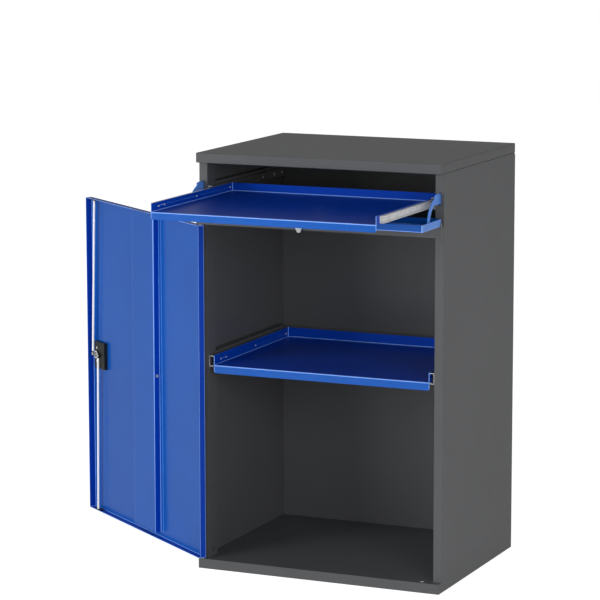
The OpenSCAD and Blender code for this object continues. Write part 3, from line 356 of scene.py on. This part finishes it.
def surface_material(name, group, colour, values, shader_values):
    """A material whose Principled shader takes colour, roughness and normal from a group."""
    material = bpy.data.materials.new(name)
    material.use_nodes = True
    tree = material.node_tree
    shader = tree.nodes["Principled BSDF"]
    surface = add(tree, "ShaderNodeGroup", -400, 0, node_tree=group)
    surface.inputs["Colour"].default_value = (*colour, 1)
    for label, value in values.items():
        surface.inputs[label].default_value = value
    for label, value in shader_values.items():
        shader.inputs[label].default_value = value
    link(tree, surface.outputs["Colour"], shader.inputs["Base Color"])
    link(tree, surface.outputs["Roughness"], shader.inputs["Roughness"])
    link(tree, surface.outputs["Normal"], shader.inputs["Normal"])
    material.diffuse_color = (*colour, 1)
    return material


MATERIALS = {}


def make_materials(colours):
    coat, plating, moulded = powder_coat_group(), plating_group(), moulded_group()
    for key, name, group, values, shader_values in (
        ("carcass", "Anthracite powder coat", coat,
         {"Roughness": 0.36, "Peel": 0.45, "Clouds": 0.05}, {"Specular IOR Level": 0.45}),
        ("panel", "Blue powder coat", coat,
         {"Roughness": 0.25, "Peel": 0.35, "Clouds": 0.06}, {"Specular IOR Level": 0.4}),
        # A darker copy of the blue coat: painted shade on flanks and pan insides.
        ("panel_painted_shade", "Blue powder coat with painted shade", coat,
         {"Roughness": 0.32, "Peel": 0.25, "Clouds": 0.04}, {"Specular IOR Level": 0.2}),
        # A lighter, glossier copy of the blue coat: painted highlight on bends and rims.
        ("panel_painted_highlight", "Blue powder coat with painted highlights on bends and rims", coat,
         {"Roughness": 0.25, "Peel": 0.2, "Clouds": 0.04}, {"Specular IOR Level": 0.6}),
        # Also the painted sheen on the flap's side flanges.
        ("stay", "Blue coat on the stays, painted sheen on the flap sides", coat,
         {"Roughness": 0.32, "Peel": 0.3, "Clouds": 0.05}, {"Specular IOR Level": 0.5}),
        ("zinc", "Bright zinc", plating,
         {"Roughness": 0.3, "Lines": 0.3, "Tarnish": 0.16}, {"Metallic": 0.3}),
        # A darker copy of the zinc: painted shade in the outer slide members.
        ("channel", "Zinc with painted shade", plating,
         {"Roughness": 0.38, "Lines": 0.4, "Tarnish": 0.2}, {"Metallic": 0.4}),
        ("rod", "White zinc", plating,
         {"Roughness": 0.35, "Lines": 0.15, "Tarnish": 0.03}, {"Metallic": 0.05}),
        ("chrome", "Polished chrome", plating,
         {"Roughness": 0.12, "Lines": 0.05, "Tarnish": 0.04}, {"Metallic": 1.0}),
        ("plastic", "Black moulded plastic", moulded,
         {"Roughness": 0.4, "Grain": 0.4}, {"Specular IOR Level": 0.3}),
        ("nylon", "Grey nylon", moulded,
         {"Roughness": 0.5, "Grain": 0.2}, {"Specular IOR Level": 0.4}),
    ):
        MATERIALS[key] = surface_material(
            name, group, getattr(colours, key), values, shader_values)


# Meshes


NARROW = 1.9 * MM          # faces narrower than this are cut edges of the sheet
RIM_PERIMETER = 38 * MM    # a shorter one is the wall of a hole or slot
PAN_SHEET = 1.2 * MM       # sheet of the tray and the shelf
SAME_POINT = 0.002 * MM
ON_PLANE = 0.01 * MM
FLAT_ANGLE = radians(0.3)  # faces that turn less are one flat face
SHARP_ANGLE = radians(32)  # edges that turn more are drawn sharp, or eased on a solid piece
FOLD_ANGLE = radians(60)
FACING = 0.7               # share of a normal along an axis that counts as facing it
OUTER_STEPS, INNER_STEPS, EASED_STEPS = 3, 2, 2
# Slots of a blue panel: flat coat, painted highlight on bends and rims, painted shade, and the stay
# coat as a painted sheen.
PANEL_COATS = ("panel", "panel_painted_highlight", "panel_painted_shade", "stay")
FLAT_COAT, PAINTED_HIGHLIGHT_COAT, PAINTED_SHADE_COAT, PAINTED_SHEEN_COAT = range(4)


def reach(face, edge):
    """How far a face extends from one of its edges, measured in the face."""
    start = edge.verts[0].co
    along = (edge.verts[1].co - start).normalized()
    across = face.normal.cross(along)
    return max(abs((v.co - start).dot(across)) for v in face.verts)


def mean_width(face):
    """Width of a long face: its area over its length, however it turns."""
    return 2 * face.calc_area() / sum(edge.calc_length() for edge in face.edges)


def cleaned(node):
    """A bmesh of a CAD node with joined points and whole flat faces."""
    mesh = bmesh.new()
    mesh.from_mesh(frame["nodes"][node].data)
    bmesh.ops.remove_doubles(mesh, verts=mesh.verts, dist=SAME_POINT)
    bmesh.ops.dissolve_limit(mesh, angle_limit=FLAT_ANGLE, verts=mesh.verts,
                             edges=mesh.edges)
    bmesh.ops.recalc_face_normals(mesh, faces=mesh.faces)
    mesh.normal_update()
    return mesh


def fold_edges(mesh, convex):
    """Edges where wide faces meet at a bend, outside or inside of it."""
    found = []
    for edge in mesh.edges:
        if len(edge.link_faces) != 2 or edge.calc_face_angle() < FOLD_ANGLE:
            continue
        if edge.is_convex != convex or edge.calc_length() < 2 * NARROW:
            continue
        if all(reach(face, edge) > NARROW and mean_width(face) > NARROW
               for face in edge.link_faces):
            found.append(edge)
    return found


def sharp_edges(mesh):
    return [e for e in mesh.edges
            if len(e.link_faces) == 2 and e.calc_face_angle() > SHARP_ANGLE]


def rounded(mesh, edges, radius, steps, slot=-1):
    """Rounds edges; the new faces take a material slot, or with -1 their neighbours'.

    With a slot the radius is kept where bends meet, so that the painted highlight lines stay even.
    """
    if edges and radius > 0:
        bmesh.ops.bevel(mesh, geom=edges, offset=radius, offset_type="OFFSET",
                        segments=steps, profile=0.5, affect="EDGES",
                        clamp_overlap=slot < 0, loop_slide=True, material=slot)
        mesh.normal_update()


def split_along(mesh, x):
    """Adds edges where the mesh crosses this x, so that a bend of the lip ends there."""
    bmesh.ops.bisect_plane(mesh, geom=mesh.verts[:] + mesh.edges[:] + mesh.faces[:],
                           plane_co=(x, 0, 0), plane_no=(1, 0, 0), dist=ON_PLANE)


def mark_rims(mesh, slot):
    """Gives the cut edges of the sheet, long faces as narrow as it is thick, a slot."""
    for face in mesh.faces:
        perimeter = sum(edge.calc_length() for edge in face.edges)
        if perimeter > RIM_PERIMETER and mean_width(face) < NARROW:
            face.material_index = slot


def finished(mesh, name, *materials):
    """The bmesh as an object with its materials, smooth where it turns softly."""
    for face in mesh.faces:
        face.smooth = True
    for edge in mesh.edges:
        edge.smooth = len(edge.link_faces) == 2 and edge.calc_face_angle() < SHARP_ANGLE
    data = bpy.data.meshes.new(name)
    mesh.to_mesh(data)
    mesh.free()
    for material in materials:
        data.materials.append(MATERIALS[material])
    piece = bpy.data.objects.new(name, data)
    bpy.context.scene.collection.objects.link(piece)
    even = piece.modifiers.new("Even shading", "WEIGHTED_NORMAL")
    even.keep_sharp = True
    return piece


def placed_for(piece, node):
    """The piece stands for a CAD node and moves with its body."""
    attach(piece, frame["nodes"][node]["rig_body"])
    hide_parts(node)


def sheet_piece(node, name, material, outer, inner, rim=None):
    """Folded sheet with round bends outside and inside, and its cut edges in their own finish."""
    mesh = cleaned(node)
    if rim:
        mark_rims(mesh, 1)
    rounded(mesh, fold_edges(mesh, True), outer, OUTER_STEPS)
    rounded(mesh, fold_edges(mesh, False), inner, INNER_STEPS)
    placed_for(finished(mesh, name, material, *([rim] if rim else [])), node)


def panel_piece(node, name, outer, inner, coat_of, walls=()):
    """Blue folded sheet; coat_of gives the slot of each flat face, among them painted shade, and bends
    and rims get the painted highlight coat.
    """
    mesh = cleaned(node)
    for x in walls:
        split_along(mesh, x)
    for face in mesh.faces:
        face.material_index = coat_of(face)
    # Cut rims and the new bend faces get the painted highlight.
    mark_rims(mesh, PAINTED_HIGHLIGHT_COAT)
    rounded(mesh, fold_edges(mesh, True), outer, OUTER_STEPS, PAINTED_HIGHLIGHT_COAT)
    rounded(mesh, fold_edges(mesh, False), inner, INNER_STEPS, PAINTED_HIGHLIGHT_COAT)
    placed_for(finished(mesh, name, *PANEL_COATS), node)


def solid_piece(node, name, material, edge, steps=EASED_STEPS):
    """Turned, stamped or moulded piece with eased edges."""
    mesh = cleaned(node)
    rounded(mesh, sharp_edges(mesh), edge, steps)
    placed_for(finished(mesh, name, material), node)


# Operators


class CABINET_OT_carcass(bpy.types.Operator):
    """Side panels, back, base, bay floor and cap in grey powder coat"""
    bl_idname = "cabinet.carcass"
    bl_label = "Carcass"

    def execute(self, context):
        folds = context.scene.cabinet_folds
        for node, name in (
            ("left_side", "side_panel_left"), ("right_side", "side_panel_right"),
            ("back_panel", "vented_back"), ("base_floor", "plinth_and_floor"),
            ("bay_floor", "rail_and_bay_floor"), ("top_cap", "cap"),
            ("cap_stiffener", "cap_hat_section"),
        ):
            sheet_piece(node, name, "carcass", folds.outer, folds.inner)
        solid_piece("cable_outlets", "outlet_rims", "plastic", folds.moulded / 2)
        return {"FINISHED"}


class CABINET_OT_slides(bpy.types.Operator):
    """Slide carriers, ball slides with their cages, and the rivets that hold them"""
    bl_idname = "cabinet.slides"
    bl_label = "Slides"

    def execute(self, context):
        folds = context.scene.cabinet_folds
        for level in ("tray", "shelf"):
            for side in ("left", "right"):
                sheet_piece(f"{level}_carrier_{side}", f"{level}_bracket_{side}",
                            "carcass", folds.outer, folds.inner)
                # The outer member is darkened with painted shade; its rims keep the bright zinc.
                for member, finish in (("outer", "channel"), ("inner", "zinc")):
                    sheet_piece(f"{level}_slide_{member}_{side}",
                                f"{level}_{member}_member_{side}",
                                finish, folds.slide_outer, 0, "zinc")
                solid_piece(f"{level}_ball_cage_{side}", f"{level}_balls_{side}",
                            "chrome", 0)
            solid_piece(f"{level}_screws", f"{level}_wall_screws", "zinc", folds.turned)
        solid_piece("slide_rivets", "carrier_rivets", "zinc", folds.turned)
        return {"FINISHED"}


class CABINET_OT_pans(bpy.types.Operator):
    """Keyboard tray and printer shelf in blue powder coat"""
    bl_idname = "cabinet.pans"
    bl_label = "Tray and shelf"

    def execute(self, context):
        folds = context.scene.cabinet_folds
        for node, name in (("keyboard_tray", "tray_pan"), ("printer_shelf", "shelf_pan")):
            low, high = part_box(node)
            walls = (low.x + PAN_SHEET, high.x - PAN_SHEET)

            # Faces behind the front lip get painted shade.
            def lip_or_painted_shade(face, front=low.y + PAN_SHEET):
                return FLAT_COAT if face.calc_center_median().y < front else PAINTED_SHADE_COAT

            panel_piece(node, name, folds.panel_outer, folds.panel_inner, lip_or_painted_shade, walls)
        return {"FINISHED"}


class CABINET_OT_flap(bpy.types.Operator):
    """Fold-down flap with its stays, pins and lock"""
    bl_idname = "cabinet.flap"
    bl_label = "Flap"

    def execute(self, context):
        folds = context.scene.cabinet_folds

        # Side flanges get a painted sheen in the stays' lighter blue; upward faces get painted shade.
        def flap_coat(face):
            if abs(face.normal.x) > FACING:
                return PAINTED_SHEEN_COAT
            return PAINTED_SHADE_COAT if face.normal.z > FACING else FLAT_COAT

        panel_piece("flap_panel", "flap_sheet", folds.panel_outer, folds.panel_inner, flap_coat)
        for side in ("left", "right"):
            solid_piece(f"flap_stay_{side}", f"stay_{side}", "stay", folds.turned)
        solid_piece("stay_rivets", "stay_rivet_heads", "stay", folds.turned)
        solid_piece("flap_pins", "flap_pivot_pins", "zinc", folds.turned)
        solid_piece("flap_lock_body", "flap_lock_head", "chrome", folds.turned)
        solid_piece("flap_lock_nut", "flap_lock_hex_nut", "zinc", folds.turned)
        solid_piece("flap_lock_plug", "flap_lock_cylinder", "zinc", folds.turned / 2)
        solid_piece("flap_lock_cam", "flap_lock_tongue", "zinc", folds.turned)
        solid_piece("cam_screw", "tongue_screw", "zinc", folds.turned)
        return {"FINISHED"}


class CABINET_OT_door(bpy.types.Operator):
    """Wing door with its stiffener and pivots"""
    bl_idname = "cabinet.door"
    bl_label = "Door"

    def execute(self, context):
        folds = context.scene.cabinet_folds
        widest = max(frame["nodes"]["door_panel"].data.polygons, key=lambda face: face.area)
        across = widest.normal.copy()

        # Faces not parallel to the door, its flanks and flanges, get painted shade.
        def face_or_painted_shade_flank(face):
            return FLAT_COAT if abs(face.normal.dot(across)) > FACING else PAINTED_SHADE_COAT

        for node, name in (("door_panel", "door_sheet"),
                           ("door_stiffener", "door_hat_section")):
            panel_piece(node, name, folds.panel_outer, folds.door_inner, face_or_painted_shade_flank)
        solid_piece("stiffener_plug", "flank_plug", "nylon", folds.turned)
        solid_piece("door_pivot_pins", "pivot_pins", "zinc", folds.turned)
        solid_piece("door_pivot_bushes", "pivot_bushes", "nylon", folds.turned)
        return {"FINISHED"}


class CABINET_OT_rotary_lock(bpy.types.Operator):
    """Lock case, crank, rods and turning handle"""
    bl_idname = "cabinet.rotary_lock"
    bl_label = "Rotary lock"

    def execute(self, context):
        folds = context.scene.cabinet_folds
        solid_piece("lock_case", "lock_housing", "plastic", folds.moulded)
        solid_piece("rod_guides", "rod_guide_plates", "plastic", folds.moulded / 2)
        solid_piece("lock_case_screws", "housing_screws", "zinc", folds.turned)
        solid_piece("lock_crank", "rotor_plate", "plastic", folds.turned)
        solid_piece("spindle_ring", "spindle_washer", "zinc", folds.turned)
        solid_piece("rod_clips", "rod_end_washers", "zinc", folds.turned)
        solid_piece("lock_spindle", "square_spindle", "zinc", folds.turned)
        solid_piece("upper_rod_joint", "rod_up_eye", "plastic", folds.turned)
        solid_piece("lower_rod_joint", "rod_down_eye", "plastic", folds.turned)
        solid_piece("upper_lock_rod", "rod_up", "rod", folds.turned)
        solid_piece("lower_lock_rod", "rod_down", "rod", folds.turned)
        solid_piece("handle_rosette", "rosette", "plastic", folds.moulded)
        solid_piece("door_handle", "turning_handle", "plastic", folds.moulded, 3)
        solid_piece("handle_plug", "handle_cylinder", "zinc", folds.turned)
        return {"FINISHED"}


SOFT_LAMP, SMALL_LAMP = 2.4, 0.5    # diameters of the lamps
LAMP_TARGET = (0, 0, 0.55)
FLOOR_REACH = 12
FLOOR_GAP = 0.0004
DIM_FROM, DIM_TO = 0.1, 0.9         # the surround dims between these heights of the view ray


def area_lamp(name, place, size, power):
    """A round lamp; only the small one shows in reflections."""
    data = bpy.data.lights.new(name, "AREA")
    data.shape, data.size, data.energy = "DISK", size, power
    lamp = bpy.data.objects.new(name, data)
    lamp.location = place
    lamp.visible_glossy = size == SMALL_LAMP
    aim = Vector(LAMP_TARGET) - Vector(place)
    lamp.rotation_euler = aim.to_track_quat("-Z", "Y").to_euler()
    bpy.context.scene.collection.objects.link(lamp)


def ray_kind(tree, kind, x, y):
    """1 for rays of this kind: Is Camera Ray, Is Glossy Ray."""
    return add(tree, "ShaderNodeLightPath", x, y).outputs[kind]


def background(tree, strength, x, y):
    """An even white background shader of this strength."""
    shader = add(tree, "ShaderNodeBackground", x, y)
    shader.inputs["Color"].default_value = (1, 1, 1, 1)
    if isinstance(strength, (int, float)):
        shader.inputs["Strength"].default_value = strength
    else:
        link(tree, strength, shader.inputs["Strength"])
    return shader.outputs[0]


def mixed(tree, factor, first, second, x, y):
    mix = add(tree, "ShaderNodeMixShader", x, y)
    for socket, start in zip(mix.inputs, (factor, first, second)):
        link(tree, start, socket)
    return mix.outputs[0]


def world_background(stage):
    """Light from all round, weaker from above, and plain white as a background."""
    world = bpy.data.worlds.new("White studio")
    bpy.context.scene.world = world
    world.use_nodes = True
    tree = world.node_tree
    tree.nodes.remove(tree.nodes["Background"])
    direction = add(tree, "ShaderNodeTexCoord", -900, 0).outputs["Generated"]
    parts = add(tree, "ShaderNodeSeparateXYZ", -700, 0)
    link(tree, direction, parts.inputs[0])
    level = spread(tree, parts.outputs["Z"], DIM_FROM, DIM_TO, stage.horizon_light,
                   stage.overhead_light, -450, 0)
    ambient = background(tree, level, -200, 0)
    mirrored = background(tree, stage.mirrored_light, -200, -200)
    bright = background(tree, 1.0, -200, -400)
    inside = mixed(tree, ray_kind(tree, "Is Glossy Ray", -450, 250), ambient, mirrored, 50, 0)
    whole = mixed(tree, ray_kind(tree, "Is Camera Ray", -200, 250), inside, bright, 300, 0)
    link(tree, whole, tree.nodes["World Output"].inputs["Surface"])


def floor_material(stage):
    """Matt floor, white to the camera, with the object's soft shadow left on it."""
    material = bpy.data.materials.new("Pale studio floor")
    material.use_nodes = True
    tree = material.node_tree
    shader = tree.nodes["Principled BSDF"]
    shader.inputs["Base Color"].default_value = (*stage.floor, 1)
    shader.inputs["Roughness"].default_value = 0.9
    shader.inputs["Specular IOR Level"].default_value = 0.1
    glow = add(tree, "ShaderNodeEmission", 0, -300)
    direct = combine(tree, "MULTIPLY", ray_kind(tree, "Is Camera Ray", -700, -300),
                     stage.floor_lift, -450, -300)
    mirror = combine(tree, "MULTIPLY", ray_kind(tree, "Is Glossy Ray", -700, -500),
                     stage.mirrored_floor, -450, -500)
    link(tree, combine(tree, "ADD", direct, mirror, -200, -300), glow.inputs["Strength"])
    both = add(tree, "ShaderNodeAddShader", 300, 0)
    link(tree, shader.outputs[0], both.inputs[0])
    link(tree, glow.outputs[0], both.inputs[1])
    link(tree, both.outputs[0], tree.nodes["Material Output"].inputs["Surface"])
    return material


class CABINET_OT_stage(bpy.types.Operator):
    """Pale floor, soft lamps, white surround and the camera"""
    bl_idname = "cabinet.stage"
    bl_label = "Stage"

    def execute(self, context):
        stage = context.scene.cabinet_stage
        mesh = bmesh.new()
        bmesh.ops.create_grid(mesh, x_segments=1, y_segments=1, size=FLOOR_REACH)
        data = bpy.data.meshes.new("studio_floor")
        mesh.to_mesh(data)
        mesh.free()
        data.materials.append(floor_material(stage))
        floor = bpy.data.objects.new("studio_floor", data)
        context.scene.collection.objects.link(floor)
        floor.location.z = CAD_BOX[0].z - FLOOR_GAP
        world_background(stage)
        for name, place, size, power in (
            ("front_left_lamp", (-3.0, -4.4, 1.3), SOFT_LAMP, stage.front_left),
            ("front_right_lamp", (3.2, -3.6, 1.3), SOFT_LAMP, stage.front_right),
            ("small_high_lamp", (-1.6, -3.2, 4.2), SMALL_LAMP, stage.sparkle),
        ):
            area_lamp(name, place, size, power)
        camera_data = bpy.data.cameras.new("studio_camera")
        camera_data.lens = stage.lens
        camera = bpy.data.objects.new("studio_camera", camera_data)
        context.scene.collection.objects.link(camera)
        forward = Vector((-sin(stage.yaw) * cos(stage.pitch),
                          cos(stage.yaw) * cos(stage.pitch), -sin(stage.pitch)))
        right = Vector((cos(stage.yaw), sin(stage.yaw), 0))
        up = right.cross(forward)
        right, up = (right * cos(stage.roll) + up * sin(stage.roll),
                     up * cos(stage.roll) - right * sin(stage.roll))
        turn = Matrix((right, up, -forward)).transposed().to_4x4()
        camera.matrix_world = Matrix.Translation(stage.position) @ turn
        context.scene.camera = camera
        context.scene.view_settings.view_transform = "Standard"
        return {"FINISHED"}


class CABINET_PT_panel(bpy.types.Panel):
    """Lists the cabinet's operators and settings"""
    bl_label = "Workstation cabinet"
    bl_idname = "CABINET_PT_panel"
    bl_space_type = "VIEW_3D"
    bl_region_type = "UI"
    bl_category = "Cabinet"

    def draw(self, context):
        layout = self.layout
        for name in ("cabinet_colours", "cabinet_folds", "cabinet_stage"):
            group = getattr(context.scene, name)
            column = layout.column(align=True)
            for key in group.bl_rna.properties.keys():
                if key not in ("rna_type", "name"):
                    column.prop(group, key)
        for operator in OPERATORS:
            layout.operator(operator.bl_idname)


OPERATORS = (
    CABINET_OT_stage, CABINET_OT_carcass, CABINET_OT_slides, CABINET_OT_pans,
    CABINET_OT_flap, CABINET_OT_door, CABINET_OT_rotary_lock,
)
GROUPS = {
    "cabinet_colours": CabinetColours,
    "cabinet_folds": CabinetFolds,
    "cabinet_stage": CabinetStage,
}
CLASSES = (*GROUPS.values(), *OPERATORS, CABINET_PT_panel)


def register():
    for cls in CLASSES:
        bpy.utils.register_class(cls)
    for name, group in GROUPS.items():
        setattr(bpy.types.Scene, name, bpy.props.PointerProperty(type=group))


def unregister():
    for name in GROUPS:
        delattr(bpy.types.Scene, name)
    for cls in reversed(CLASSES):
        bpy.utils.unregister_class(cls)


def main():
    register()
    make_materials(bpy.context.scene.cabinet_colours)
    for operator in OPERATORS:
        category, name = operator.bl_idname.split(".")
        getattr(getattr(bpy.ops, category), name)()


if __name__ == "__main__":
    main()
